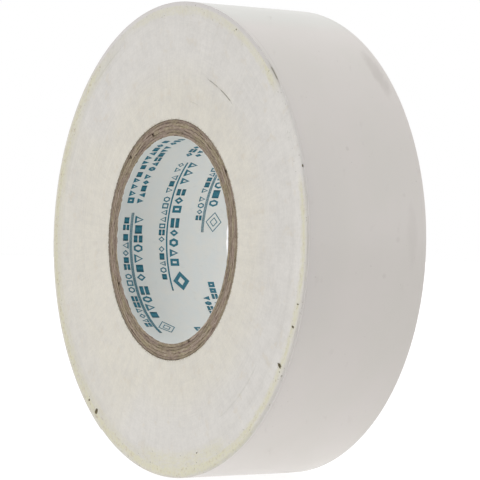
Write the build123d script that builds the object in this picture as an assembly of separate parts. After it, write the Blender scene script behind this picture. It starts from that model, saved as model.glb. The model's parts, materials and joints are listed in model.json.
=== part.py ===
from build123d import *
import os
from math import cos, radians, sin

# A roll of electrical tape on a wound chipboard core, in millimetres.
# The roll's axis is Y, it stands on its tread with +Z up, and the origin is the middle of the bore.
# A direction around the roll is an angle in degrees from +X towards +Z.
# A place along the tape is the angle wound back from its cut end: 0 is the cut end, and 360 is the
# same direction one wrap further in.

# Driving dimensions
TAPE_WIDTH = 25.4
ROLL_DIAMETER = 88.0
WRAP_PITCH = 0.2175  # film and adhesive together

BORE_DIAMETER = 38.1
LINER_THICKNESS = 0.15
PLY_THICKNESS = 0.61
PLY_SEAMS = (290, 205, 110, 134, 35)  # where each ply's edges meet on the -Y face, innermost ply first
SEAM_GAP = 0.25
SEAM_LEAN = 20  # degrees between a seam and the roll's axis

CUT_END_DIRECTION = 237.0
END_TAB_SPAN = 18.0  # the part of the tape that a thumb lifts
LINK_SPAN = 10.0  # the rest of the free tape bends at these steps
LINK_COUNT = 12

BORE_RADIUS = BORE_DIAMETER / 2
CORE_RADIUS = BORE_RADIUS + LINER_THICKNESS + PLY_THICKNESS * len(PLY_SEAMS)
ROOT = END_TAB_SPAN + LINK_SPAN * LINK_COUNT  # where the free tape leaves the pack
PACK_STEPS = 24  # arcs that follow the spiral from the root to below the cut end
AXIS_PLANE = Plane.XZ


def spiral_point(place):
    """The point on the tape's outer surface at a place along it."""
    radius = ROLL_DIAMETER / 2 - WRAP_PITCH * place / 360
    direction = radians(CUT_END_DIRECTION - place)
    return radius * cos(direction), radius * sin(direction)


def spiral_arcs(places):
    """One arc on the tape's outer surface between each two neighbouring places."""
    return [
        ThreePointArc(spiral_point(start), spiral_point((start + end) / 2), spiral_point(end))
        for start, end in zip(places, places[1:])
    ]


def across_width(outline):
    """A solid as wide as the tape, from an outline square to the roll's axis."""
    return extrude(AXIS_PLANE * outline, amount=TAPE_WIDTH / 2, both=True)


def tube(inner_radius, outer_radius):
    """A tube on the roll's axis, as long as the tape is wide."""
    return across_width(Circle(outer_radius) - Circle(inner_radius))


def core_ply(index):
    """One chipboard strip of the core: a tube with a leaning slot where the strip's edges meet."""
    inner_radius = BORE_RADIUS + LINER_THICKNESS + PLY_THICKNESS * index
    slot = Box(BORE_RADIUS, 4 * TAPE_WIDTH, SEAM_GAP)
    seam_start = Pos(inner_radius, -TAPE_WIDTH / 2, 0)
    to_seam = Rot(0, -PLY_SEAMS[index], 0)
    return tube(inner_radius, inner_radius + PLY_THICKNESS) - to_seam * seam_start * Rot(SEAM_LEAN, 0, 0) * slot


def free_tape(start, end):
    """A stretch of the outermost wrap, lying on the wrap below it."""
    outer = spiral_arcs([start, end])
    inner = spiral_arcs([start + 360, end + 360])
    sides = [Line(spiral_point(place), spiral_point(place + 360)) for place in (start, end)]
    return across_width(make_face(outer + inner + sides))


def tape_pack():
    """Every wrap below the free tape. Its tread steps down by one wrap where the free tape leaves it."""
    step = (360 - ROOT) / PACK_STEPS
    places = [ROOT + step * i for i in range(PACK_STEPS + 1)]
    places += [360 + place for place in link_places()]
    rim = spiral_arcs(places)
    root_step = Line(spiral_point(ROOT), spiral_point(ROOT + 360))
    return across_width(make_face(rim + [root_step]) - Circle(CORE_RADIUS))


def link_places():
    """The places where the free tape bends, from the end tab's hinge to the root."""
    return [END_TAB_SPAN + LINK_SPAN * i for i in range(LINK_COUNT + 1)]


def roll_parts():
    """Every node's name and its solid."""
    parts = {"core_liner": tube(BORE_RADIUS, BORE_RADIUS + LINER_THICKNESS)}
    for index in range(len(PLY_SEAMS)):
        parts[f"core_ply_{index + 1}"] = core_ply(index)
    parts["tape_pack"] = tape_pack()
    places = link_places()
    for number, (start, end) in enumerate(zip(places[-2::-1], places[:0:-1]), 1):
        parts[f"free_tape_{number:02d}"] = free_tape(start, end)
    parts["tape_end"] = free_tape(0, END_TAB_SPAN)
    return parts


os.makedirs("parts", exist_ok=True)
for name, solid in roll_parts().items():
    solid.label = name
    export_step(solid, f"parts/{name}.step")
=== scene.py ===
import json
from math import ceil, floor, pi, radians

import bpy
import numpy as np
from mathutils import Matrix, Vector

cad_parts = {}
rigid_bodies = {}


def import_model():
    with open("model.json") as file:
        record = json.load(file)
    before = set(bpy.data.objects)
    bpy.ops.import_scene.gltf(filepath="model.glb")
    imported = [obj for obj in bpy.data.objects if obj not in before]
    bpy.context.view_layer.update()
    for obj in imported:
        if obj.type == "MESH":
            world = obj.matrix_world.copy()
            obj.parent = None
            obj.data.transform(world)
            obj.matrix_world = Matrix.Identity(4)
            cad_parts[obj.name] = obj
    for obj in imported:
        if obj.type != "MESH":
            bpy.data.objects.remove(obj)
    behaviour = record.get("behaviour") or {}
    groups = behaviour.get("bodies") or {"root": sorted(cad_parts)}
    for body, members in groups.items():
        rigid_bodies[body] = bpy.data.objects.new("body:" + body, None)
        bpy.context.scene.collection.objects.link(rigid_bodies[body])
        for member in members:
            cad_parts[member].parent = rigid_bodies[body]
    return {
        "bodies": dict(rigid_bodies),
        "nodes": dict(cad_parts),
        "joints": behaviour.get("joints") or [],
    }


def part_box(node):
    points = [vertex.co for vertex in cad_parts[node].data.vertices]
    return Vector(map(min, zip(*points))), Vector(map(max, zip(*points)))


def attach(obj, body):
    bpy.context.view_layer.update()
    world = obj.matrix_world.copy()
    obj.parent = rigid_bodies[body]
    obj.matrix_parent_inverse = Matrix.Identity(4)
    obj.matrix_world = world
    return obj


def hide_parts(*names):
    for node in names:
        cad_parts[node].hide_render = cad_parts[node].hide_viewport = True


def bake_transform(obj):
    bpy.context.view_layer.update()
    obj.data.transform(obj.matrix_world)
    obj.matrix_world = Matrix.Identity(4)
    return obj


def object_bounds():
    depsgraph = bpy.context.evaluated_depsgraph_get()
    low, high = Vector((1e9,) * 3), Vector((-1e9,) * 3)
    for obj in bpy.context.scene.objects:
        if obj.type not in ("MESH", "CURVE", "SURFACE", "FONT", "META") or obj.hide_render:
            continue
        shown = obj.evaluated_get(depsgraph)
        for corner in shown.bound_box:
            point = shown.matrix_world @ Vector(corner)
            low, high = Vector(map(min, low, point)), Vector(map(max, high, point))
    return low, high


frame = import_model()
CAD_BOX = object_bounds()

# A roll of white electrical tape on a chipboard core. Lengths are in millimetres until a mesh is made.
# The roll's axis is Y. A direction around the roll is in degrees from +X towards +Z.
# A place along the tape is the angle wound back from its cut end, in degrees.
# The near side is the face at -Y, and the far side is the one at +Y.

MM = 0.001
TOUCHING = 0.01  # how close two places are that count as the same
NEAR = -1
FAR = 1
REST = "rest_mm"


# ---------------- the roll's own dimensions, from the frame


def read(items, attribute, width=1, kind=float):
    """One attribute of a mesh's vertices, loops or polygons: a row for each of them."""
    values = np.zeros(len(items) * width, kind)
    items.foreach_get(attribute, values)
    return values.reshape(-1, width)


def node_points(node):
    """A CAD node's vertices, in millimetres."""
    return read(frame["nodes"][node].data.vertices, "co", 3) / MM


def polar(points):
    """The radius and the direction of points around the roll."""
    radius = np.hypot(points[:, 0], points[:, 2])
    direction = np.degrees(np.arctan2(points[:, 2], points[:, 0])) % 360
    return radius, direction


def joint_pivot(name):
    """A joint's radius and direction around the roll."""
    joint = next(joint for joint in frame["joints"] if joint["name"] == name)
    radius, direction = polar(np.array([joint["pos_m"]]) / MM)
    return radius[0], direction[0]


LINKS = sorted(name for name in frame["bodies"] if name.startswith("free_tape_"))
PLIES = sorted(name for name in frame["nodes"] if name.startswith("core_ply_"))

HALF_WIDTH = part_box("tape_pack")[1].y / MM
BORE_RADIUS = polar(node_points("core_liner"))[0].min()
LINER_RADIUS = polar(node_points("core_liner"))[0].max()
CORE_RADIUS = polar(node_points(PLIES[-1]))[0].max()
CUT_DIRECTION = polar(node_points("tape_end"))[1].max()
ROOT_RADIUS, ROOT_DIRECTION = joint_pivot("tape_peel")
TAB_RADIUS, TAB_DIRECTION = joint_pivot("end_lift")
ROOT = CUT_DIRECTION - ROOT_DIRECTION
TAB = CUT_DIRECTION - TAB_DIRECTION
LINK_SPAN = (ROOT - TAB) / len(LINKS)
PITCH = 360 * (TAB_RADIUS - ROOT_RADIUS) / (ROOT - TAB)
ROLL_RADIUS = TAB_RADIUS + PITCH * TAB / 360

# How the wound tape is meshed and how uneven it is
COLUMN_STEP = 1.5
COLUMNS = round(360 / COLUMN_STEP)
LAND = 0.8  # the share of a wrap's edge that is flat, before the step to the next wrap
LEAST_SHIFT = 0.05
OUTER_SHIFT = 0.12  # how far the outermost wraps have wandered towards +Y
OUTER_SHIFT_WRAPS = 3.4
DRIFTS = ((2300, 1, 0.014), (170, 2, 0.005))  # how the tape wanders along Y: spacing, seed, amplitude
DRIFT_LIMITS = (-0.04, 0.05)
FILM_WIDTH = 2 * HALF_WIDTH - LEAST_SHIFT - OUTER_SHIFT - 0.06  # the last part leaves room for the drifts
TREAD_ROWS = 16
TREAD_SHARES = 0.5 - 0.5 * np.cos(pi * np.linspace(0, 1, TREAD_ROWS + 1))
SHOULDER_WIDTH = 1.3
SHOULDER_DROP = 0.025
RIPPLES = (((2, 3, 5), 21, 0.006), ((9, 14, 23), 22, 0.002))  # of a face: waves, seed, amplitude
CHATTER = 0.0022  # fine roughness of a face

# The free tape's strips
GLUE_DEPTH = 0.82  # the share of a wrap's thickness that is film; the rest is adhesive
FILM_CLEARANCE = 0.004
CUT_RAGGEDNESS = 0.12

# Grooves in a face: radius, first and last direction, depth
GROOVES = {
    NEAR: (
        (43.68, 39.6, 44.3, 0.16),
        (31.3, 52.5, 60, 0.16),
        (31.3, 61.5, 67.5, 0.12),
        (26, 70.5, 77, 0.06),
        (40.9, 118, 131, 0.05),
        (36.2, 300, 322, 0.04),
    ),
    FAR: (
        (42.9, 128, 139, 0.35),
        (35.4, 20, 33, 0.16),
        (28.7, 262, 275, 0.22),
    ),
}
GROOVE_SHADE_SHARE = 3.2  # how strongly a groove is darkened by painted shade for each millimetre of its depth

# Adhesive on the faces: a yellow ring, and a bead squeezed out of the last wraps
RING_RADIUS = 42.45
RING_GAPS = ((17, 36.5, 1), (50, 66, 0.35), (70, 126, 0.5), (113, 124, 0.7))  # directions, share missing
BEAD_RADIUS = 43.05
BEAD_HALF_WIDTH = 0.55
BEAD_HEIGHT = 0.05
BEAD_GAP = (21, 37)

# Painted light and shade, where a face is made lighter or darker to match the photo:
# first and last direction, by the core or the rim, how much
FACE_PAINTED_LIGHT = (
    (150, 258, "core", 0.018),
    (52, 84, "core", -0.020),
    (66, 108, "rim", -0.014),
    (0, 12, "rim", 0.042),
    (318, 360, "rim", 0.050),
    (122, 288, "rim", -0.036),
    (228, 262, "rim", -0.022),
)

# Dirt on the faces: radius, direction, length along the wrap, width across the wraps
SPECKS = {
    NEAR: (
        (41.7, 329.4, 0.65, 1.25),
        (42.2, 232.6, 1, 1.25),
        (43.6, 17.4, 0.5, 0.3),
        (42.8, 61.2, 0.35, 0.3),
        (42.2, 340, 0.45, 0.75),
        (42.3, 345.6, 0.25, 0.6),
        (39.8, 285, 0.35, 0.25),
        (42.4, 227.9, 0.45, 0.55),
    ),
    FAR: (
        (42.5, 143, 0.4, 0.5),
        (41.2, 205, 0.5, 0.3),
        (43, 300, 0.3, 0.7),
        (34, 58, 0.35, 0.25),
    ),
}
SPECK_SEEDS = {NEAR: 140, FAR: 160}
SPECK_SIDES = 18
SPECK_LEVELS = 5
SPECK_HEIGHT = 0.03

# Faint lines along the tread: distance from the near face, strength, first and last direction
RIM_LINES = (
    (0.12, 0.60, 52, 142),
    (0.45, 0.14, 0, 360),
    (1, 0.24, 48, 84),
    (24.6, 0.15, 0, 360),
)

# Dark marks on the tread: direction, y, half length in degrees, half width, strength
TREAD_MARKS = (
    (44, 10.5, 8.5, 1.5, 0.44),
    (2.5, 9.5, 7.5, 1.2, 0.17),
    (11.2, 8.2, 0.6, 0.45, 0.20),
    (21.8, -2.6, 0.6, 0.35, 0.28),
    (352.7, 3.8, 0.6, 0.5, 0.22),
    (1, 6.4, 0.8, 0.5, 0.20),
)

# The core's plies: where their faces have points across the thickness, and how many points they have between
CORE_RECESS = 0.10
PLY_SHARES = np.array([0, 0.10, 0.32, 0.55, 0.78, 0.92, 1])
PLY_STATIONS = 5

# How far a ply's face sinks: in crumbs, between fibres, by glue lines, by its seam, and where its rim is torn
CRUMB_DEPTH = 0.012
FIBRE_DEPTH = 0.035
GLUE_DEPTHS = (0.015, 0.145)
GLUE_WIDTH = 0.14  # the share of a ply's thickness that sinks by each glue line
SEAM_DEPTH = 0.10
SEAM_REACH = 1 / 150  # as a share of a turn
TEAR_DEPTH = 0.30

# The liner and the loose fibres
LINER_ROWS = 14
LINER_WAVE = 0.03  # how far the liner's inside may stand off its middle, to either side
LINER_CUT = 0.08  # how far the liner's cut edges stay inside the roll's faces, at least
LINER_CUT_WAVE = 0.06
LINER_NIBBLE = 0.09
FIBRE_COUNT = 150
FIBRE_THICKNESS = 0.022
FIBRE_LIFT = 0.16
FIBRE_ROOT = 0.06  # how deep a fibre starts in the board

# The print on the liner
INK_TOP = BORE_RADIUS - 0.012
INK_FOOT = BORE_RADIUS + 0.075
BAR_STATION = 0.8
SHAPES = {
    "diamond": ((0, -1), (1, 0), (0, 1), (-1, 0)),
    "square": ((-1, -1), (1, -1), (1, 1), (-1, 1)),
    "wedge": ((-1, -1), (1, -1), (0, 1)),
    "drop": ((-1, 1), (0, -1), (1, 1)),
    "hexagon": ((-0.5, -1), (0.5, -1), (1, 0), (0.5, 1), (-0.5, 1), (-1, 0)),
}
ORNAMENTS = (*SHAPES, "blocks", "tile")
LABEL_LENGTH = 27.3
# A label's lines of ornaments: start, end, how far above its rule, height, stroke
LABEL_LINES = (
    (2.4, LABEL_LENGTH - 0.8, -1.85, 1.35, 0.19),
    (5.2, LABEL_LENGTH - 1.2, 0.66, 1.95, 0.30),
    (29.2, 46.7, -1.75, 1.4, 0.34),
    (29.2, 49.7, 0.38, 1.4, 0.34),
)
SOLID_STROKE = 0.38  # of the second line, where the label is a solid one
LABEL_DIRECTION = 211
LABEL_STAGGER = 35.7
LABEL_Y = -1.44
LABEL_PITCH = 8.13


# ---------------- smooth random shapes


def smoothstep(value):
    value = np.clip(value, 0, 1)
    return value * value * (3 - 2 * value)


def drift(position, spacing, seed, amplitude):
    """A smooth random curve: one random height per spacing, blended in between."""
    heights = np.random.default_rng(seed).normal(size=4096)
    step = np.asarray(position, float) / spacing + 64
    before = np.floor(step).astype(int)
    blend = smoothstep(step - before)
    return amplitude * (heights[before] * (1 - blend) + heights[before + 1] * blend)


def wobble(direction, waves, seed, amplitude):
    """A smooth random curve around the roll that closes on itself."""
    random = np.random.default_rng(seed)
    total = 0
    for count in waves:
        total = total + random.normal() * np.cos(np.radians(direction) * count + random.uniform(0, 2 * pi))
    return amplitude * total / len(waves) ** 0.5


def window(direction, start, end, soft):
    """1 between two directions, fading to 0 over soft degrees outside them."""
    middle = (start + end) / 2
    away = np.abs((direction - middle + 180) % 360 - 180) - (end - start) / 2
    return 1 - smoothstep(away / soft)


# ---------------- the tape's shape


def spiral_radius(place):
    return ROLL_RADIUS - PITCH * place / 360


def on_circle(radius, direction):
    angle = np.radians(direction)
    return radius * np.cos(angle), radius * np.sin(angle)


def film_point(place, depth):
    """x and z at a depth below the tape's outer surface, on the flat facets between the mesh columns."""
    step = (np.asarray(place, float) - ROOT) / COLUMN_STEP
    before = np.floor(step + 1e-6)
    blend = step - before
    corners = []
    for column in (before, before + 1):
        corner = ROOT + column * COLUMN_STEP
        corners.append(on_circle(spiral_radius(corner) - depth, CUT_DIRECTION - corner))
    x = corners[0][0] * (1 - blend) + corners[1][0] * blend
    z = corners[0][1] * (1 - blend) + corners[1][1] * blend
    return x, z


def film_shift(place):
    """How far the tape has wandered towards +Y at a place: the outermost wraps more than the rest."""
    outer = OUTER_SHIFT * (1 - smoothstep(np.asarray(place) / 360 / OUTER_SHIFT_WRAPS))
    wandered = sum(drift(place, *settings) for settings in DRIFTS)
    return LEAST_SHIFT + outer + np.clip(wandered, *DRIFT_LIMITS)


def groove_depth(side, radius, direction):
    """How deep a wrap's edge sits below the face."""
    depth = 0
    for groove_radius, start, end, deepest in GROOVES[side]:
        inside = np.abs(radius - groove_radius) <= PITCH / 2
        depth = depth + deepest * inside * window(direction, start, end, 1)
    return depth


def bead_height(side, radius, direction):
    """The adhesive bead's height above the face: lumpy, and missing over a part of the roll."""
    across = 1 - np.abs(radius - BEAD_RADIUS - wobble(direction, (1, 2, 3), 5 + side, 0.12)) / BEAD_HALF_WIDTH
    lumps = 0.5 + drift(direction * 9 + radius * 37, 11, 7 + side, 0.35)
    missing = window(direction, *BEAD_GAP, 4)
    return BEAD_HEIGHT * np.clip(across, 0, 1) * np.clip(lumps, 0, 1) * (1 - missing)


def face_y(side, place, radius):
    """The axial position of a wrap's edge on one face of the roll."""
    direction = (CUT_DIRECTION - place) % 360
    base = -HALF_WIDTH + film_shift(place)
    base = base + (FILM_WIDTH if side == FAR else 0)
    rough = sum(wobble(direction, *settings) for settings in RIPPLES)
    rough = rough + drift(direction + radius * 3, 2.6, 23 + side, CHATTER)
    inward = groove_depth(side, radius, direction) - bead_height(side, radius, direction) + rough
    return base - side * inward


def tread_relief(direction, y):
    """The radial height of the tread above its true cylinder: gentle waves, and rounded shoulders."""
    waves = wobble(direction, (3, 4, 7), 31, 0.007) * np.cos(y / 5.1 + 0.8)
    waves = waves + wobble(direction, (5, 8, 11), 32, 0.004) * np.sin(y / 2.9)
    waves = waves + wobble(direction, (2, 5, 9), 33, 0.006)
    ridge = 0.008 * np.exp(-(((y - 4.2) / 0.9) ** 2)) - 0.006 * np.exp(-(((y + 7.4) / 0.6) ** 2))
    edge = np.clip(1 - (HALF_WIDTH - np.abs(y)) / SHOULDER_WIDTH, 0, 1)
    return waves + ridge - SHOULDER_DROP * edge**2


def tread_normal(points):
    """The tread's normals, from the slopes of its relief."""
    radius, direction = polar(points)
    y = points[:, 1]
    turn, shift = 0.1, 0.02
    around = tread_relief(direction + turn, y) - tread_relief(direction - turn, y)
    around = around / (radius * radians(2 * turn))
    across = (tread_relief(direction, y + shift) - tread_relief(direction, y - shift)) / (2 * shift)
    angle = np.radians(direction)
    outward = np.stack([np.cos(angle), np.zeros_like(angle), np.sin(angle)], 1)
    forward = np.stack([-np.sin(angle), np.zeros_like(angle), np.cos(angle)], 1)
    axial = np.array([[0.0, 1.0, 0.0]])
    normal = outward - around[:, None] * forward - across[:, None] * axial
    return normal / np.linalg.norm(normal, axis=1, keepdims=True)


def inward_normal(points):
    """Normals that point straight at the roll's axis."""
    normal = points * np.array([[-1.0, 0.0, -1.0]])
    return normal / np.linalg.norm(normal, axis=1, keepdims=True)


# ---------------- meshes


def add_object(name, data):
    """Puts a mesh, a lamp or a camera into the scene."""
    thing = bpy.data.objects.new(name, data)
    bpy.context.scene.collection.objects.link(thing)
    return thing


class Shell:
    """Collects the points and faces of a closed mesh. Each face has a material and a shading group."""

    def __init__(self, name):
        self.name = name
        self.points = []
        self.count = 0
        self.faces = []
        self.groups = []
        self.slots = []

    def add(self, x, y, z):
        """Adds points and returns their numbers in the same arrangement."""
        x, y, z = np.broadcast_arrays(x, y, z)
        numbers = np.arange(x.size).reshape(x.shape) + self.count
        self.points.append(np.stack([x.ravel(), y.ravel(), z.ravel()], 1))
        self.count += x.size
        return numbers

    def face(self, corners, group, slot=0):
        self.faces.append([int(corner) for corner in corners])
        self.groups.append(group)
        self.slots.append(slot)

    def grid(self, numbers, group, slot=0, flip=False):
        """Quads between neighbouring rows and columns of point numbers."""
        a, b = numbers[:-1, :-1].ravel(), numbers[1:, :-1].ravel()
        c, d = numbers[1:, 1:].ravel(), numbers[:-1, 1:].ravel()
        quads = np.stack([a, d, c, b] if flip else [a, b, c, d], 1)
        self.faces += quads.tolist()
        self.groups += [group] * len(quads)
        self.slots += [slot] * len(quads)

    def sweep(self, numbers, groups, ends=("start", "end"), flip=False):
        """A section swept along the columns, its rows shaded by groups; without ends it closes on itself."""
        rows = np.vstack([numbers, numbers[:1]])
        if not ends:
            rows = np.hstack([rows, rows[:, :1]])
        for index, group in enumerate(groups):
            self.grid(rows[index : index + 2], group, flip=flip)
        for corners, group in zip((numbers[:, 0], numbers[::-1, -1]), ends):
            self.face(corners[::-1] if flip else corners, group)

    def make(self, materials, normals=None):
        """The Blender object. normals gives a shading group its own normals; other groups are smoothed."""
        points = np.concatenate(self.points)
        used = np.unique([corner for face in self.faces for corner in face])
        renumber = np.zeros(len(points), int)
        renumber[used] = np.arange(len(used))
        points = points[used]
        faces = [[int(renumber[corner]) for corner in face] for face in self.faces]
        mesh = bpy.data.meshes.new(self.name)
        mesh.from_pydata((points * MM).tolist(), [], faces)
        for material in materials:
            mesh.materials.append(material)
        mesh.polygons.foreach_set("material_index", self.slots)
        mesh.polygons.foreach_set("use_smooth", [True] * len(faces))
        set_normals(mesh, points, self.groups, normals or {})
        rest = mesh.attributes.new(REST, "FLOAT_VECTOR", "POINT")
        rest.data.foreach_set("vector", points.astype(np.float32).ravel())
        mesh.validate()
        return add_object(self.name, mesh)

    def ride_roll(self, materials, node=None, normals=None):
        """Makes a piece that rides the roll, in place of a CAD node if one is named."""
        piece = self.make(materials, normals)
        if node:
            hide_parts(node)
        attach(piece, "roll")


def set_normals(mesh, points, groups, own_normals):
    """Gives each face corner the normal of its shading group, so that edges between groups stay sharp."""
    corners = read(mesh.loops, "vertex_index", kind=int)[:, 0]
    sizes = read(mesh.polygons, "loop_total", kind=int)[:, 0]
    weighted = read(mesh.polygons, "normal", 3) * read(mesh.polygons, "area")
    weighted = np.repeat(weighted, sizes, axis=0)
    names = sorted(set(groups))
    group_of = np.repeat([names.index(group) for group in groups], sizes)
    result = np.zeros((len(corners), 3))
    for index, name in enumerate(names):
        mine = group_of == index
        if name in own_normals:
            result[mine] = own_normals[name](points[corners[mine]])
            continue
        summed = np.zeros((len(points), 3))
        np.add.at(summed, corners[mine], weighted[mine])
        result[mine] = summed[corners[mine]]
    lengths = np.linalg.norm(result, axis=1, keepdims=True)
    result = result / np.maximum(lengths, 1e-12)
    mesh.normals_split_custom_set(result.tolist())


# ---------------- the tape pack


def build_pack(materials):
    """Every wrap below the free tape, as one closed spiral mesh whose faces show each wrap's edge."""
    shell = Shell("wound_tape")
    near_rim, near_wall = pack_face(shell, NEAR)
    far_rim, far_wall = pack_face(shell, FAR)
    shell.grid(np.stack([near_wall, far_wall]), "wall")
    tread = tread_rows(shell, ROOT + COLUMN_STEP * np.arange(COLUMNS + 1), near_rim[:1], far_rim[:1])
    shell.grid(tread, "tread", slot=1, flip=True)
    end_wall(shell, tread[:, 0], tread[:, -1], near_rim[1, 0], far_rim[1, 0], "step")
    shell.ride_roll(materials, "tape_pack", {"tread": tread_normal})


def pack_face(shell, side):
    """One face of the pack: a flat land and a step for each wrap. Gives its outer rows and its inner rim."""
    wraps = int((spiral_radius(ROOT) - CORE_RADIUS) / PITCH - LAND)
    turns = COLUMN_STEP * np.arange(COLUMNS)
    place = ROOT + 360 * np.arange(wraps + 1)[:, None] + turns
    direction = CUT_DIRECTION - place
    y = face_y(side, place, spiral_radius(place) - PITCH / 2)
    rings = []
    for depth in (0, LAND * PITCH):
        radius = spiral_radius(place) - depth
        if depth == 0:
            radius[0] += tread_relief(direction[0], y[0])
            radius[1, 0] += tread_relief(direction[1, 0], y[1, 0])
        x, z = on_circle(radius, direction)
        rings.append(shell.add(x, y, z))
    numbers = np.stack(rings, 1).reshape(-1, COLUMNS)
    # The last column of each wrap joins the first column of the next, which makes the face a spiral
    closing = np.append(numbers[2:, 0], [0, 0])[:, None]
    closed = np.hstack([numbers, closing])[:-2]
    shell.grid(closed, f"face{side}", flip=side == FAR)
    x, z = on_circle(CORE_RADIUS, CUT_DIRECTION - ROOT - turns)
    wall = shell.add(x, side * (HALF_WIDTH - LEAST_SHIFT), z)
    wall = np.append(wall, wall[0])
    for column in range(COLUMNS):
        corners = [closed[-1, column], wall[column], wall[column + 1], closed[-1, column + 1]]
        if column == 0:  # this face also takes in the spiral's inner end
            corners[1:1] = [numbers[-2, 0], numbers[-1, 0]]
        shell.face(corners[::-1] if side == FAR else corners, f"face{side}")
    return closed[:3], wall


def across_tape(places, radius):
    """The axial positions of points across the tape at some places: a row for each of the tread's rows."""
    near_y = face_y(NEAR, places, radius)
    return near_y + (face_y(FAR, places, radius) - near_y) * TREAD_SHARES[:, None]


def tread_rows(shell, places, near_rim, far_rim):
    """The tread's points: a row for each position across the width, with the rims as the outer rows."""
    direction = CUT_DIRECTION - places
    y = across_tape(places, spiral_radius(places))[1:-1]
    x, z = on_circle(spiral_radius(places) + tread_relief(direction, y), direction)
    return np.vstack([near_rim, shell.add(x, y, z), far_rim])


def end_wall(shell, top, bottom, near_corner, far_corner, group, flip=False):
    """A wall one wrap high across the tape. Its outer faces take in a corner of the side edges."""
    for row in range(TREAD_ROWS):
        corners = [top[row], top[row + 1], bottom[row + 1], bottom[row]]
        if row == 0:
            corners.append(near_corner)
        if row == TREAD_ROWS - 1:
            corners.insert(2, far_corner)
        shell.face(corners[::-1] if flip else corners, group)


# ---------------- the free tape


def strip_shell(name, first, last, ragged_end):
    """A stretch of the free tape between two places: film outside, adhesive inside."""
    shell = Shell(name)
    steps = range(ceil((first - ROOT) / COLUMN_STEP + 0.01), floor((last - ROOT) / COLUMN_STEP - 0.01) + 1)
    places = np.array([first, *[ROOT + COLUMN_STEP * step for step in steps], last])
    y = across_tape(places, spiral_radius(places) - PITCH / 2)
    place = np.broadcast_to(places, y.shape).copy()
    if ragged_end:
        place[:, 0] += CUT_RAGGEDNESS * np.abs(drift(y[:, 0], 1.1, 41, 1))
    relief = tread_relief(CUT_DIRECTION - place, y)
    layers = []
    for depth in (0, GLUE_DEPTH * PITCH, PITCH - FILM_CLEARANCE):
        x, z = film_point(place, depth - relief)
        layers.append(shell.add(x, y, z))
    film, glue_line, glue = layers
    shell.grid(film, "tread", slot=1, flip=True)
    shell.grid(glue, "under", slot=2)
    for row, flip in ((0, False), (-1, True)):
        shell.grid(np.stack([film[row], glue_line[row]]), f"edge{row}", slot=0, flip=flip)
        shell.grid(np.stack([glue_line[row], glue[row]]), f"edge{row}", slot=2, flip=flip)
    for end, flip in ((0, False), (-1, True)):
        end_wall(shell, film[:, end], glue[:, end], glue_line[0, end], glue_line[-1, end], f"cap{end}", flip)
    return shell


def build_strips(materials):
    """The free tape as strips that each span one hinge, from the middle of one link to the next."""
    bodies = ["roll", *LINKS, "tape_end"]
    joins = [ROOT] + [ROOT - LINK_SPAN * (index + 0.5) for index in range(len(LINKS))] + [0]
    for index, (last, first) in enumerate(zip(joins, joins[1:])):
        is_tab = first == 0
        name = "end_tab" if is_tab else f"free_strip_{index + 1:02d}"
        shell = strip_shell(name, first, last, ragged_end=is_tab)
        piece = shell.make(materials, {"tread": tread_normal, "under": inward_normal})
        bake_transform(piece)
        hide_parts(bodies[index + 1])


# ---------------- the core


def seam_direction(node, side):
    """Where a ply's edges meet on one face: the two corners of its rim that lie closest together."""
    points = node_points(node)
    radius, direction = polar(points)
    on_rim = (radius > radius.max() - TOUCHING) & (np.abs(points[:, 1] - side * HALF_WIDTH) < TOUCHING)
    corners = np.unique(np.round(direction[on_rim], 2))
    spacing = np.diff(np.append(corners, corners[0] + 360))
    closest = int(np.argmin(spacing))
    return corners[closest] + spacing[closest] / 2, spacing[closest]


def build_ply(index, material):
    """One chipboard strip wound into a tube, with soft fibrous faces and a leaning seam."""
    node = PLIES[index]
    inner, outer = polar(node_points(node))[0].min(), polar(node_points(node))[0].max()
    near_seam, gap = seam_direction(node, NEAR)
    far_seam, _ = seam_direction(node, FAR)
    lean = (far_seam - near_seam + 180) % 360 - 180
    corner = np.ones(len(PLY_SHARES))
    across = np.ones(PLY_STATIONS)
    along = np.linspace(-1, 1, PLY_STATIONS + 2)[1:-1]
    faces = [inner + (outer - inner) * PLY_SHARES, outer + (inner - outer) * PLY_SHARES]
    radius = np.concatenate([faces[0], across * outer, faces[1], across * inner])[:, None]
    level = np.concatenate([-corner, along, corner, -along])[:, None]
    groups = [name for name in ("near", "outer", "far", "inner") for _ in range(len(radius) // 4)]
    turn = np.linspace(0, 1, COLUMNS + 1)[None, :]
    direction = near_seam + lean * (level + 1) / 2 + gap / 2 + (360 - gap) * turn
    at_edge = 1 - np.minimum(radius - inner, outer - radius) / (GLUE_WIDTH * (outer - inner))
    crumbs = np.random.default_rng(60 + index).normal(size=direction.shape) * CRUMB_DEPTH
    fibres = np.abs(drift(direction * 3 + radius * 41, 5, 70 + index, FIBRE_DEPTH) + crumbs)
    glue = np.clip(0.35 + drift(direction + radius * 9, 5, 80 + index, 0.6), 0, 1)
    glue_line = np.interp(glue, (0, 1), GLUE_DEPTHS) * np.clip(at_edge, 0, 1)
    seam_sag = SEAM_DEPTH * (np.exp(-turn / SEAM_REACH) + np.exp((turn - 1) / SEAM_REACH))
    torn = TEAR_DEPTH * (radius == CORE_RADIUS) * np.clip(drift(direction, 2.2, 85, 0.6) - 0.15, 0, 1)
    sunk = fibres + glue_line + seam_sag + torn
    y = level * (HALF_WIDTH - CORE_RECESS) - np.sign(level) * (np.abs(level) == 1) * sunk
    x, z = on_circle(radius, direction)
    shell = Shell(f"core_board_{index + 1}")
    shell.sweep(shell.add(x, y, z), groups)
    shell.ride_roll([material], node)


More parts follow.
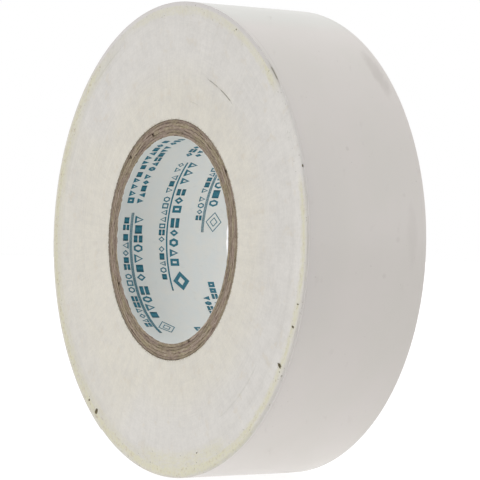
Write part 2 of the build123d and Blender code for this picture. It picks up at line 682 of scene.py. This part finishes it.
def build_liner(material):
    """The paper tube that lines the bore: it follows the chipboard's waves, and its cut edges are uneven."""
    across = np.linspace(-1, 1, LINER_ROWS)
    level = np.concatenate([across, across[::-1]])[:, None]
    inside = np.repeat([1, 0], LINER_ROWS)[:, None]
    direction = -COLUMN_STEP * np.arange(COLUMNS)[None, :]
    waves = wobble(direction, (3, 5, 8), 91, 0.012) * np.cos(level * 2)
    waves = np.clip(waves + wobble(direction, (2, 4, 6), 92, 0.010), -LINER_WAVE, LINER_WAVE)
    radius = np.where(inside, BORE_RADIUS + LINER_WAVE + waves, LINER_RADIUS)
    nibbles = np.abs(np.random.default_rng(94).normal(size=direction.shape))
    cut = LINER_CUT + np.abs(wobble(direction, (4, 9, 15, 28), 93, LINER_CUT_WAVE)) + LINER_NIBBLE * nibbles
    x, z = on_circle(radius, direction)
    groups = ["bore"] * (LINER_ROWS - 1) + ["far"] + ["outer"] * (LINER_ROWS - 1) + ["near"]
    shell = Shell("bore_liner")
    shell.sweep(shell.add(x, level * (HALF_WIDTH - cut), z), groups, ends=())
    shell.ride_roll([material], "core_liner")


def build_fibres(material):
    """Loose paper fibres standing out of the core's cut edge."""
    random = np.random.default_rng(101)
    shell = Shell("core_fibres")
    share = np.linspace(0, 1, 6)
    lift = FIBRE_LIFT * share * (1 - 0.4 * share)
    thick = FIBRE_THICKNESS * (1 - 0.6 * share)
    for _ in range(FIBRE_COUNT):
        side = random.choice([NEAR, FAR])
        radius = random.uniform(LINER_RADIUS + 0.1, CORE_RADIUS + 0.02)
        direction = random.uniform(0, 360)
        step = random.uniform(0.25, 0.9) / 5
        lean = random.uniform(-0.5, 0.5)
        heading = lean + random.uniform(-0.6, 0.6) * share[:-1]
        along = np.append(0, np.cumsum(np.cos(heading) * step))
        outward = np.append(0, np.cumsum(np.sin(heading) * step)) * 0.6
        add_fibre(shell, side, radius + outward, direction + np.degrees(along / radius), lift, thick)
    shell.ride_roll([material])


def add_fibre(shell, side, radius, direction, lift, thick):
    """One fibre: a thin curved rod with a square section, its foot buried in the board."""
    around = np.array([0, pi / 2, pi, 3 * pi / 2])[:, None] + pi / 4
    x, z = on_circle(radius + thick * np.cos(around), direction)
    y = side * (HALF_WIDTH - CORE_RECESS - FIBRE_ROOT + lift + thick * np.sin(around))
    shell.sweep(shell.add(x, y, z), ["rod"] * len(around), ends=("rod", "rod"), flip=side == NEAR)


# ---------------- the print on the liner


class Print:
    """Ink laid on the liner. Along runs round the bore in the reading direction, across is along +Y."""

    def __init__(self, shell, direction, y):
        self.shell = shell
        self.direction = direction
        self.y = y

    def ribbon(self, left, right, ends=("start", "end")):
        """A thin closed layer of ink between two lines of points (along, across)."""
        along, across = np.moveaxis(np.array([left, right, right, left], float), 2, 0)
        radius = np.array([[INK_TOP], [INK_TOP], [INK_FOOT], [INK_FOOT]])
        x, z = on_circle(radius, self.direction - np.degrees(along / BORE_RADIUS))
        numbers = self.shell.add(x, self.y + across, z)
        self.shell.sweep(numbers, ("top", "right", "foot", "left"), ends, flip=True)

    def bar(self, along, across, length, height):
        """A rectangle of ink."""
        stations = np.linspace(along, along + length, 1 + ceil(length / BAR_STATION))
        self.ribbon([(s, across + height) for s in stations], [(s, across) for s in stations])

    def outline(self, corners, along, across, width, height, stroke):
        """A hollow shape with its corners given as shares of its width and height."""
        middle = np.array([along + width / 2, across + height / 2])
        size = np.array([width, height])
        hole = np.maximum(size / 2 - 1.35 * stroke, 0.02 * size)
        shape = np.array(corners, float)
        self.ribbon(middle + shape * size / 2, middle + shape * hole, ends=())

    def ornament(self, kind, along, across, width, height, stroke):
        """A small plain shape that stands where a letter would, and is no letter."""
        if kind == "blocks":
            for share in (0, 0.58):
                self.bar(along, across + share * height, width, height * 0.42)
        elif kind == "tile":
            self.bar(along, across + 0.10 * height, width, height * 0.80)
        else:
            self.outline(SHAPES[kind], along, across, width, height, stroke)

    def line(self, along, end, across, height, stroke, seed):
        """A row of ornaments in groups as long as words."""
        random = np.random.default_rng(seed)
        letters = 0
        word = random.integers(3, 8)
        while along < end:
            width = height * random.uniform(0.68, 0.96)
            self.ornament(random.choice(ORNAMENTS), along, across, width, height, stroke)
            along += width + 0.17 * height
            letters += 1
            if letters == word:
                along += 0.4 * height
                letters = 0
                word = random.integers(3, 8)


def print_label(ink, solid, seed):
    """One printed label: a diamond, a thin line over a rule, a bold line below it, and two lines after."""
    if solid:
        ink.bar(0, -0.16, LABEL_LENGTH, 0.32)
        ink.outline(SHAPES["diamond"], 0.1, 0.6, 4, 3.7, 0.78)
    else:
        for share in (-1, 0, 1):
            ink.bar(0, 0.21 * share - 0.06, LABEL_LENGTH, 0.12)
        ink.outline(SHAPES["diamond"], 0.1, 0.6, 4, 3.7, 0.15)
        ink.outline(SHAPES["diamond"], 1.15, 1.55, 1.9, 1.8, 0.15)
    for number, (*place, stroke) in enumerate(LABEL_LINES):
        ink.line(*place, SOLID_STROKE if solid and number == 1 else stroke, seed + number)


def build_print(material):
    """The labels printed on the liner, in three rows that each start further round the bore."""
    shell = Shell("liner_print")
    for row in (-1, 0, 1):
        for half in (0, 1):
            direction = LABEL_DIRECTION - LABEL_STAGGER * row + 180 * half
            ink = Print(shell, direction, LABEL_Y + LABEL_PITCH * row)
            print_label(ink, solid=row == 0, seed=110 + 10 * row)
    shell.ride_roll([material])


# ---------------- dirt on the tape's edges


def add_speck(shell, side, radius, direction, length, width, seed):
    """A flat irregular crumb pressed into the face."""
    turn = np.linspace(0, 2 * pi, SPECK_SIDES + 1)[:-1, None]
    bend = np.linspace(0.12, pi - 0.12, SPECK_LEVELS)
    reach = 0.5 * np.sin(bend) * (1 + wobble(np.degrees(turn), (2, 3, 5, 7), seed, 0.16) * np.sin(bend))
    along = length * np.cos(turn) * reach
    outward = width * np.sin(turn) * reach
    height = SPECK_HEIGHT * (np.cos(bend) + 0.5)
    x, z = on_circle(radius + outward, direction + np.degrees(along / radius))
    face = -HALF_WIDTH + LEAST_SHIFT + (FILM_WIDTH if side == FAR else 0)
    numbers = shell.add(x, face + side * height, z)
    shell.sweep(numbers, ["crumb"] * SPECK_SIDES, ends=("crumb", "crumb"), flip=side == FAR)


def build_specks(material):
    shell = Shell("edge_dirt")
    for side, specks in SPECKS.items():
        for index, speck in enumerate(specks):
            add_speck(shell, side, *speck, SPECK_SEEDS[side] + index)
    shell.ride_roll([material])


# ---------------- materials


def paint(red, green, blue):
    """A colour given as a picture shows it, from 0 to 255, as Blender's linear values."""
    shares = [value / 255 for value in (red, green, blue)]
    linear = [share / 12.92 if share < 0.04045 else ((share + 0.055) / 1.055) ** 2.4 for share in shares]
    return (*linear, 1.0)


WHITE = paint(255, 255, 255)
EDGE_COOL = paint(225.5, 222, 216.5)
EDGE_WARM = paint(227, 222, 210)
EDGE_GREY = paint(221, 217, 211)
EDGE_ADHESIVE = paint(223, 219, 191)
EDGE_ADHESIVE_BROWN = paint(198, 184, 158)
# Dirt on the faces, and painted shade in their grooves
EDGE_DIRT_AND_SHADE = paint(120, 112, 84)
EDGE_STAIN = paint(219, 208, 188)
RIM_LILAC = paint(220, 215, 214)
TREAD_PINK = paint(222, 216, 211)
TREAD_GREY = paint(220, 215, 209)
# A painted reflection on the top of the tread
TREAD_PAINTED_REFLECTION = paint(219, 219, 213)
# Painted shade on the tread by its near rim and on its +X side
TREAD_PAINTED_SHADE = paint(208, 202, 201)
TREAD_SMUDGE = paint(188, 180, 174)
TREAD_SPECK = paint(170, 160, 152)
ADHESIVE_LIGHT = paint(224, 219, 200)
ADHESIVE_DARK = paint(212, 206, 182)
BOARD = paint(162, 144, 132)
BOARD_DARK = paint(131, 115, 101)
BOARD_OCHRE = paint(163, 151, 124)
BOARD_LIGHT = paint(188, 174, 158)
BOARD_FLECK = paint(199, 186, 169)
# Dark glue and grains, and painted shade along the core's outer rim
BOARD_GLUE_AND_SHADE = paint(92, 77, 63)
PAPER_COOL = paint(230, 232, 230)
PAPER_WARM = paint(234, 233, 228)
PAPER_SHADE = paint(215, 218, 215)
PAPER_EDGE = paint(204, 196, 179)
INK_DEEP = paint(28, 110, 130)
INK_THIN = paint(84, 148, 162)
GRIME_DARK = paint(78, 71, 50)
GRIME_LIGHT = paint(122, 112, 86)

# Places on a face, and how softly they end: ranges of direction
WARM_SIDE = (152, 240, 14)
WIDE_PATCH = (263, 293, 8)
DIRTY_PATCH = (256, 292, 6)
LOWER_SIDE = (130, 255, 15)
RIM_TOP = (48, 126, 14)
RIM_FOOT = (205, 272, 14)
RIM_RIGHT = (-44, 12, 10)
# Where the painted reflection lies along the top of the tread
TREAD_REFLECTION_SECTOR = (68, 112, 9)

# The same as ranges of radius
HALO = (41.2, 43, 1.2)
DIRTY_RIM = (41.6, 43.4, 0.6)
ADHESIVE_STRENGTH = 0.85


def operator(operation, swapped=False):
    """A method for Value that adds a node for an operation."""

    def apply(*values):
        return values[0].nodes.math(operation, *(values[::-1] if swapped else values))

    return apply


class Value:
    """A number, colour or vector that nodes work out at each point. Arithmetic on values adds nodes."""

    __array_ufunc__ = None  # numpy's numbers leave sums with values to this class
    __add__ = __radd__ = operator("ADD")
    __sub__ = operator("SUBTRACT")
    __rsub__ = operator("SUBTRACT", swapped=True)
    __mul__ = __rmul__ = operator("MULTIPLY")
    __truediv__ = operator("DIVIDE")
    __pow__ = operator("POWER")
    __mod__ = operator("FLOORED_MODULO")
    __abs__ = operator("ABSOLUTE")

    def __init__(self, nodes, socket):
        self.nodes = nodes
        self.socket = socket

    def rise(self, low, high, to_low=0, to_high=1):
        """Goes smoothly from to_low to to_high as the value goes from low to high."""
        inputs = [self, low, high, to_low, to_high]
        return self.nodes.value("ShaderNodeMapRange", inputs, interpolation_type="SMOOTHSTEP")

    def spread(self, amount):
        """A noise stretched to run from -amount to amount."""
        return self.rise(0.3, 0.7, -amount, amount)

    def band(self, start, end, soft):
        """1 between start and end, fading to 0 over soft on each side."""
        return self.rise(start - soft, start) * self.rise(end, end + soft, 1, 0)

    def random(self):
        """A random number from 0 to 1 for each whole step of the value."""
        step = self.nodes.math("FLOOR", self)
        return self.nodes.value("ShaderNodeTexWhiteNoise", {"W": step}, noise_dimensions="1D")


class Nodes:
    """Adds nodes to a material's or the world's node tree."""

    def __init__(self, tree):
        self.tree = tree

    def feed(self, node, inputs):
        """Sets inputs by name or number, to a number, a colour or a value; None leaves one alone."""
        for key, value in inputs.items():
            if isinstance(value, Value):
                self.tree.links.new(value.socket, node.inputs[key])
            elif value is not None:
                node.inputs[key].default_value = value

    def node(self, kind, inputs=(), **settings):
        """Adds a node. Its inputs are given in their order, or by name or number."""
        node = self.tree.nodes.new(kind)
        for setting, value in settings.items():
            setattr(node, setting, value)
        self.feed(node, inputs if isinstance(inputs, dict) else dict(enumerate(inputs)))
        return node

    def value(self, kind, inputs=(), output=0, **settings):
        """Adds a node and takes one of its outputs."""
        return Value(self, self.node(kind, inputs, **settings).outputs[output])

    def math(self, operation, *values):
        return self.value("ShaderNodeMath", values, operation=operation)

    def largest(self, *values):
        result = values[0]
        for value in values[1:]:
            result = self.math("MAXIMUM", result, value)
        return result

    def camera_ray(self):
        """1 where the camera looks straight at a surface or at the world, and 0 for the light they give."""
        return self.value("ShaderNodeLightPath", output="Is Camera Ray")


class Shader(Nodes):
    """Builds a procedural material from the rest position of each point, in millimetres."""

    def __init__(self, name, colour=None):
        self.material = bpy.data.materials.new(name)
        self.material.use_nodes = True
        super().__init__(self.material.node_tree)
        self.surface = self.tree.nodes["Principled BSDF"]
        self.colour = colour
        self.rest = self.value("ShaderNodeAttribute", output="Vector", attribute_name=REST)
        split = self.node("ShaderNodeSeparateXYZ", [self.rest])
        self.x, self.y, self.z = (Value(self, output) for output in split.outputs)
        self.radius = self.math("SQRT", self.x**2 + self.z**2)
        self.direction = self.math("ARCTAN2", self.z, self.x) * (180 / pi) % 360
        self.side_x = self.x / self.radius
        self.side_z = self.z / self.radius

    def vector(self, x, y, z):
        return self.value("ShaderNodeCombineXYZ", [x, y, z])

    def scaled(self, x, y, z):
        """A place for noise: how fine it is along each axis."""
        return self.value("ShaderNodeVectorMath", [self.rest, (x, y, z)], operation="MULTIPLY")

    def noise(self, place, detail=3, roughness=0.6, distortion=0):
        """Noise at a place, or, given a number instead, as fine as that in all directions."""
        if isinstance(place, (int, float)):
            place = self.scaled(place, place, place)
        inputs = {"Vector": place, "Scale": 1, "Detail": detail, "Roughness": roughness}
        return self.value("ShaderNodeTexNoise", {**inputs, "Distortion": distortion})

    def round_noise(self, around, outward, across=0, *settings):
        """Noise that closes round the roll: how fine it is around, outward and across, then as for noise."""
        x = self.side_x * around + self.y * across
        return self.noise(self.vector(x, self.side_z * around, self.radius * outward), *settings)

    def turn_from(self, direction):
        """Degrees from a direction, from -180 to 180."""
        return self.math("WRAP", self.direction - direction, 180, -180)

    def sector(self, start, end, soft):
        """1 between two directions, fading to 0 over soft degrees outside them."""
        return self.direction.band(start, end, soft)

    def mix(self, share, first, second, blend="MIX"):
        inputs = {0: share, 6: first, 7: second}
        return self.value("ShaderNodeMix", inputs, output=2, data_type="RGBA", blend_type=blend)

    def base(self, share, first, second):
        """Starts the material's colour as a mix of two paints."""
        self.colour = self.mix(share, first, second)

    def tint(self, share, colour, blend="MIX"):
        """Mixes a share of another colour into the material's colour."""
        self.colour = self.mix(share, self.colour, colour, blend)

    def lighten(self, lightness):
        """Multiplies the material's colour by one plus the lightness."""
        value = 1 + lightness
        self.tint(1, self.value("ShaderNodeCombineColor", [value, value, value]), "MULTIPLY")

    def bump(self, height, distance, under=None):
        """A normal from a height in millimetres, on top of another normal."""
        inputs = {"Strength": 1, "Distance": distance * MM, "Height": height, "Normal": under}
        return self.value("ShaderNodeBump", inputs)

    def finish(self, roughness, normal=None, specular=0.5, coat=0, coat_roughness=0.1):
        inputs = {"Base Color": self.colour, "Roughness": roughness, "Normal": normal}
        inputs |= {"Specular IOR Level": specular, "Coat Weight": coat, "Coat Roughness": coat_roughness}
        self.feed(self.surface, inputs)
        return self.material


def wrap_count(shader):
    """How many wraps in from the outside a point is; it goes up by one at each wrap's edge."""
    behind = (CUT_DIRECTION - shader.direction) % 360
    return (ROLL_RADIUS - shader.radius) / PITCH - behind / 360


def vinyl_edge():
    """The cut edges of the wraps: warm by the core, pinkish further out, with yellow adhesive at the rim,
    painted light and shade in broad patches, and painted shade in the grooves.
    """
    shader = Shader("vinyl_edge")
    wraps = wrap_count(shader)
    blotches = shader.noise(0.10)
    patches = shader.noise(0.33, 4, 0.65)
    mottle = shader.round_noise(24, 0.75)
    grain = shader.round_noise(60, 2.6, 0, 2, 0.6)
    streaks = shader.round_noise(5, 6.5, 0, 2, 0.6)
    chatter = shader.round_noise(85, 0.12, 0, 2, 0.5)
    warmth = shader.radius.rise(24, 38, 0.75, 0.05) + blotches * 0.35 + shader.sector(*WARM_SIDE) * 0.45
    shader.base(warmth.rise(0.25, 0.95), EDGE_COOL, EDGE_WARM)
    shader.tint(patches.rise(0.35, 0.75, 0, 0.40), EDGE_GREY)
    ringed = shader.noise(0.07, 2, 0.5).rise(0.42, 0.62, 0.25, 1)
    wrap_tone = wraps.random()
    edge_line = (wraps % 1).rise(LAND - 0.05, 1)
    rings = streaks.spread(0.018) + wrap_tone.rise(0, 1, -0.012, 0.012) - edge_line * 0.022
    # The face's painted light and shade by direction goes in with the rings
    lightness = rings * ringed + painted_face_light(shader)
    tones = ((mottle, 0.022), (grain, 0.018), (chatter, 0.014), (blotches, 0.016), (patches, -0.010))
    for noise, amount in tones:
        lightness = lightness + noise.spread(amount)
    shader.lighten(lightness)
    stains = shader.noise(0.32, 4, 0.65).rise(0.55, 0.70)
    shader.tint(stains * 0.32, EDGE_STAIN)
    adhesive_tint(shader, wraps)
    dots = shader.round_noise(95, 2.4, 0, 1, 0.4).rise(0.69, 0.80)
    in_patch = shader.sector(*DIRTY_PATCH) * shader.radius.rise(38.6, 40)
    dirty = shader.largest(shader.radius.band(*DIRTY_RIM), in_patch)
    shader.tint(dots * dirty * 0.6, EDGE_DIRT_AND_SHADE)
    # Painted shade in the near face's grooves
    groove_painted_shade(shader)
    dusty = shader.round_noise(45, 3, 0, 3, 0.7).rise(0.42, 0.62)
    by_core = shader.radius.rise(CORE_RADIUS, CORE_RADIUS + 0.45, 1, 0)
    shader.tint(by_core * dusty * 0.75, BOARD_OCHRE)
    fine = shader.noise(6, 2, 0.6)
    height = streaks * 0.4 + chatter * 0.25 + fine * 0.35 + grain * 0.4
    return shader.finish(patches.rise(0.3, 0.7, 0.52, 0.62), shader.bump(height, 0.010), specular=0.4)


def painted_face_light(shader):
    """Painted light and shade: how much lighter or darker the face is made by direction, in broad patches."""
    near = {"core": shader.radius.rise(26, 36, 1, 0.3), "rim": shader.radius.rise(38.5, 42)}
    lightness = 0
    for start, end, place, amount in FACE_PAINTED_LIGHT:
        lightness = lightness + shader.sector(start, end, 18) * amount * near[place]
    return lightness


def groove_painted_shade(shader):
    """Painted shade in the grooves of the near face."""
    on_near_side = shader.math("LESS_THAN", shader.y, 0)
    for radius, start, end, depth in GROOVES[NEAR]:
        along = shader.sector(start + 0.8, end - 0.8, 0.8)
        across = shader.radius.band(radius - 0.02, radius + 0.02, 0.07)
        shader.tint(on_near_side * along * across * min(GROOVE_SHADE_SHARE * depth, 0.85), EDGE_DIRT_AND_SHADE)


def adhesive_tint(shader, wraps):
    """The yellow ring of adhesive near the rim: uneven, missing over a part, and wide in one patch."""
    drifted = shader.noise(shader.vector(shader.side_x * 1.3, shader.side_z * 1.3, 4), 2, 0.5)
    centre = RING_RADIUS + drifted.rise(0.3, 0.7, -0.15, 0.25)
    rough = shader.round_noise(30, 2.2, 0, 3, 0.65)
    cover = shader.round_noise(9, 0.9, 0, 3, 0.65)
    crumbs = shader.round_noise(80, 1.6, 0, 3, 0.7)
    from_centre = shader.radius - centre + rough.spread(0.25)
    ring = from_centre.rise(-1.30, -0.25) * from_centre.rise(0.35, 1.50, 1, 0.35)
    ring = ring * cover.rise(0.28, 0.55, 0.45, 1)
    for start, end, loss in RING_GAPS:
        ring = ring * (1 - shader.sector(start, end, 6) * loss)
    wide = shader.sector(*WIDE_PATCH) * shader.radius.rise(38.4, 40.4)
    wide = wide * shader.radius.rise(43, 43.5, 1, 0) * rough.rise(0.32, 0.62, 0.25, 0.75)
    lower = shader.sector(*LOWER_SIDE)
    halo = shader.radius.band(*HALO) * lower * cover
    amount = shader.largest(ring, wide, halo * 0.7) * crumbs.rise(0.34, 0.60, 0.62, 1.12)
    brown = shader.round_noise(62, 1.9, 0, 3, 0.7).rise(0.50, 0.70) * (lower * 0.35 + 0.6)
    shader.tint(amount * ADHESIVE_STRENGTH, shader.mix(brown, EDGE_ADHESIVE, EDGE_ADHESIVE_BROWN))
    rim_tint(shader, wraps, rough)


def rim_tint(shader, wraps, rough):
    """The outermost wraps: free of adhesive at the top and the right, with a broken dark outline."""
    at_top = shader.sector(*RIM_TOP)
    at_foot = shader.sector(*RIM_FOOT)
    at_right = shader.turn_from(0).band(*RIM_RIGHT)
    outermost = shader.radius.rise(43.45, 43.75) * 0.35
    clean_top = shader.radius.rise(42.95, 43.35) * at_top * 0.75
    clean_right = shader.radius.rise(42.4, 43.2) * at_right * 0.60
    shader.tint(shader.largest(outermost, clean_top, clean_right), RIM_LILAC)
    outline = wraps.rise(0.60, 0.10) * rough.rise(0.40, 0.56, 0.15, 1)
    shader.tint(outline * shader.largest(at_top * 0.50, at_foot * 0.70), TREAD_SMUDGE)


def vinyl_tread():
    """The outer face of the film: smooth glossy vinyl with calender lines, soft dents and faint smudges, a
    painted reflection along its top, and painted shade by its near rim and on its +X side.
    """
    shader = Shader("vinyl_tread")
    clouds = shader.noise(shader.scaled(0.06, 0.09, 0.06), 3, 0.55)
    smudges = shader.round_noise(9, 0.5, 0.35)
    specks = shader.noise(1.9, 1, 0.4)
    shader.base(clouds.rise(0.35, 0.65), TREAD_PINK, TREAD_GREY)
    # Painted light and shade, set to match the photo's tones: a painted reflection along the top, and painted
    # shade by the near rim and on the +X side
    shader.tint(shader.sector(*TREAD_REFLECTION_SECTOR) * 0.8, TREAD_PAINTED_REFLECTION)
    shader.tint(shader.y.rise(0.3 - HALF_WIDTH, 2.2 - HALF_WIDTH, 0.15, 0), TREAD_PAINTED_SHADE)
    shader.tint(shader.y.rise(-12, -2, 0.20, 0) * shader.side_x.rise(0.90, 0.98), TREAD_PAINTED_SHADE)
    rim_lines(shader)
    smudge = smudges.rise(0.63, 0.78)
    shader.tint(smudge * 0.22, TREAD_SMUDGE)
    for direction, y, half_length, half_width, strength in TREAD_MARKS:
        around = shader.turn_from(direction) / half_length
        across = (shader.y - y) / half_width
        reach = around**2 + across**2 + smudges.rise(0.3, 0.7, -0.3, 0.5)
        shader.tint(reach.rise(0, 1.4, strength, 0), TREAD_SMUDGE)
    shader.tint(specks.rise(0.775, 0.81, 0, 0.28), TREAD_SPECK)
    lines = shader.noise(shader.vector(shader.side_x * 1.2, shader.side_z * 1.2, shader.y * 5))
    normal = shader.bump(shader.noise(1.1, 2, 0.5), 0.010)
    normal = shader.bump(lines, 0.0022, normal)
    normal = shader.bump(shader.noise(9, 2, 0.5), 0.0008, normal)
    roughness = clouds.rise(0.3, 0.7, 0.30, 0.36) + smudge * 0.14
    return shader.finish(roughness, normal, coat=0.25, coat_roughness=0.18)


def rim_lines(shader):
    """Broken dark lines that run round the tread beside its rims."""
    wander = shader.noise(shader.vector(shader.side_x * 1.6, shader.side_z * 1.6, 14.4), 2, 0.5)
    from_rim = shader.y + HALF_WIDTH + wander.spread(0.12)
    broken = shader.round_noise(3, 0, 0.4).rise(0.38, 0.58, 0.2, 1)
    for place, strength, start, end in RIM_LINES:
        line = abs(from_rim - place).rise(0.04, 0.16, strength, 0) * broken
        shader.tint(line * shader.sector(start, end, 9), TREAD_SMUDGE)


def adhesive():
    """The sticky side of the tape: a tinted glossy layer with fine stringy texture."""
    shader = Shader("adhesive")
    clouds = shader.noise(0.25)
    strings = shader.noise(shader.vector(shader.side_x * 140, shader.side_z * 140, shader.y * 0.8))
    bubbles = shader.noise(2.6, 2, 0.5)
    shader.base(clouds.rise(0.3, 0.7), ADHESIVE_LIGHT, ADHESIVE_DARK)
    normal = shader.bump(strings + bubbles, 0.012)
    return shader.finish(strings.rise(0.3, 0.7, 0.16, 0.34), normal, coat=0.4, coat_roughness=0.08)


def chipboard():
    """Grey-brown board: pressed fibres round the core, ochre and grey blotches, broken dark glue lines, and
    painted shade along its outer rim.
    """
    shader = Shader("chipboard")
    blotches = shader.round_noise(5, 1.3, 0.3)
    fibres = shader.round_noise(20, 5, 0.9, 4, 0.7, 0.5)
    grains = shader.noise(3.4, 4, 0.7)
    crooked = shader.round_noise(11, 1.5, 0.5)
    uneven = shader.round_noise(8, 3, 0, 3, 0.65)
    shader.base(blotches.rise(0.36, 0.64), BOARD, BOARD_OCHRE)
    shader.tint(fibres.rise(0.52, 0.34, 0, 0.9), BOARD_DARK)
    shader.tint(fibres.rise(0.52, 0.70), BOARD_LIGHT)
    shader.tint(grains.rise(0.56, 0.74, 0, 0.7), BOARD_FLECK)
    shader.tint(grains.rise(0.42, 0.27, 0, 0.7), BOARD_GLUE_AND_SHADE)
    ply_depth = (CORE_RADIUS - LINER_RADIUS) / len(PLIES)
    ply = (shader.radius - LINER_RADIUS) / ply_depth + crooked.spread(0.22)
    off_line = abs((ply + 0.5) % 1 - 0.5)
    line = off_line.rise(0.04, 0.20, 1, 0) * uneven.rise(0.40, 0.60)
    shader.tint(line * 0.8, BOARD_GLUE_AND_SHADE)
    shader.lighten(ply.random().rise(0, 1, -0.10, 0.10))
    # Painted shade along the core's outer rim, where it meets the tape, in the glue's colour
    rim_painted_shade = shader.radius.rise(CORE_RADIUS - 0.24, CORE_RADIUS - 0.06)
    shader.tint(rim_painted_shade * uneven.rise(0.42, 0.58, 0.35, 0.85), BOARD_GLUE_AND_SHADE)
    return shader.finish(0.9, shader.bump(fibres + grains * 0.9, 0.09), specular=0.15)


def liner_paper():
    """Coated paper: cool grey white, faintly mottled and smudged, with painted shade by its near edge."""
    shader = Shader("liner_paper")
    mottle = shader.noise(0.35, 4, 0.6)
    grain = shader.noise(4.5)
    smudges = shader.noise(shader.scaled(0.9, 0.45, 0.9))
    shader.base(mottle.rise(0.32, 0.68), PAPER_COOL, PAPER_WARM)
    shader.tint(grain.rise(0.62, 0.80, 0, 0.35), PAPER_SHADE)
    shader.tint(smudges.rise(0.60, 0.72, 0, 0.30), PAPER_SHADE)
    # Painted shade: greyer by the near edge, to match the photo
    shader.tint(shader.y.rise(-HALF_WIDTH, 1, 0.65, 0), PAPER_SHADE)
    shader.tint(shader.radius.rise(BORE_RADIUS + 0.07, BORE_RADIUS + 0.11, 0, 0.5), PAPER_EDGE)
    return shader.finish(0.5, shader.bump(mottle, 0.05, shader.bump(grain, 0.008)), specular=0.4)


def ink():
    """Printing ink: deep teal, thinner where the paper's grain stands up."""
    shader = Shader("teal_ink")
    wear = shader.noise(3.2)
    shader.base(wear.rise(0.48, 0.74, 0, 0.55), INK_DEEP, INK_THIN)
    return shader.finish(wear.rise(0.3, 0.7, 0.42, 0.55), shader.bump(wear, 0.004), specular=0.4)


def grime():
    """Dust and fibre caught in the adhesive."""
    shader = Shader("grime")
    clumps = shader.noise(4)
    shader.base(clumps.rise(0.35, 0.65), GRIME_DARK, GRIME_LIGHT)
    return shader.finish(0.8, shader.bump(clumps, 0.03), specular=0.2)


# ---------------- floor, light and camera

# The camera was fitted to the roll's outlines in the photo. The lights' strengths began as a fit to its
# brightness, and some were then changed.
CAMERA_AZIMUTH = radians(56.02)
CAMERA_ROLL = radians(1.08)
CAMERA_DISTANCE = 435.8
CAMERA_RIGHT = 2.39
CAMERA_UP = 0.165
CAMERA_LENS = 174.2
FLOOR_SIZE = 8.0
FLOOR_GREY = paint(160, 160, 160)
FLOOR_GLOW = 0.48
FLOOR_GLOW_NEAR = 0.87
FLOOR_GLOW_REACH = (0.01, 0.09)
FLOOR_SEEN = 0.78
KEY_POWER = 1.95
KEY_SIZE = 0.7
KEY_PLACE = (-0.55, -0.75, 0.55)
WORLD_LIGHT = 0.76
# How much brighter or dimmer it is towards a side, and how close to that side this begins and is complete
WORLD_SIDES = (
    ((0.80, -0.60, 0), 0.0, 0.95, -0.72),
    ((0.25, 0.95, 0), 0.2, 1, 0.82),
    ((0.90, 0.43, 0), 0.7, 1, 0.32),
    ((-0.90, -0.40, 0), 0.2, 1, 0.53),
    ((0, 0, 1), 0.3, 1, 0.25),
)


def build_floor():
    """A white floor, lit from below round the roll. It looks brighter to the camera than it shines."""
    floor_z = min(CAD_BOX[0].z, 0)
    half = FLOOR_SIZE / 2
    corners = [(-half, -half, floor_z), (half, -half, floor_z), (half, half, floor_z), (-half, half, floor_z)]
    mesh = bpy.data.meshes.new("floor")
    mesh.from_pydata(corners, [], [(0, 1, 2, 3)])
    shader = Shader("floor_white", FLOOR_GREY)
    here = shader.value("ShaderNodeNewGeometry", output="Position")
    away = shader.value("ShaderNodeVectorMath", [here], "Value", operation="LENGTH")
    glow = away.rise(*FLOOR_GLOW_REACH, FLOOR_GLOW_NEAR, FLOOR_GLOW)
    glow = shader.largest(glow, shader.camera_ray() * FLOOR_SEEN)
    shader.feed(shader.surface, {"Emission Color": WHITE, "Emission Strength": glow})
    mesh.materials.append(shader.finish(0.9, specular=0.1))
    add_object("floor", mesh)


def build_world():
    """White all round the roll, brighter or dimmer towards a few sides; the camera sees plain white."""
    world = bpy.data.worlds.new("studio")
    bpy.context.scene.world = world
    world.use_nodes = True
    nodes = Nodes(world.node_tree)
    place = nodes.value("ShaderNodeTexCoord", output="Generated")
    light = WORLD_LIGHT
    for side, start, end, amount in WORLD_SIDES:
        facing = nodes.value("ShaderNodeVectorMath", [place, side], "Value", operation="DOT_PRODUCT")
        light = light + facing.rise(start, end, 0, amount)
    seen = nodes.value("ShaderNodeMix", [nodes.camera_ray(), None, light, 1], data_type="FLOAT")
    nodes.feed(nodes.tree.nodes["Background"], {"Color": WHITE, "Strength": seen})


def build_key_light():
    lamp = bpy.data.lights.new("key", "AREA")
    lamp.size = KEY_SIZE
    lamp.energy = KEY_POWER
    light = add_object("key", lamp)
    light.location = KEY_PLACE
    light.rotation_mode = "QUATERNION"
    light.rotation_quaternion = light.location.to_track_quat("Z", "Y")


def build_camera():
    """The camera at the photograph's viewing angle, a little off level."""
    data = bpy.data.cameras.new("camera")
    data.lens = CAMERA_LENS
    data.sensor_width = 36
    data.clip_start = 0.01
    camera = add_object("camera", data)
    around_roll = Matrix.Rotation(CAMERA_AZIMUTH, 4, "Z") @ Matrix.Rotation(pi / 2, 4, "X")
    from_roll = Matrix.Translation([CAMERA_RIGHT * MM, CAMERA_UP * MM, CAMERA_DISTANCE * MM])
    camera.matrix_world = around_roll @ Matrix.Rotation(CAMERA_ROLL, 4, "Z") @ from_roll
    bpy.context.scene.camera = camera


# ---------------- the scene

bpy.context.scene.view_settings.view_transform = "Standard"
build_camera()
build_world()
build_key_light()
build_floor()

tape_materials = [vinyl_edge(), vinyl_tread(), adhesive()]
board = chipboard()
build_pack(tape_materials[:2])
build_strips(tape_materials)
for ply_index in range(len(PLIES)):
    build_ply(ply_index, board)
build_liner(liner_paper())
build_fibres(board)
build_print(ink())
build_specks(grime())
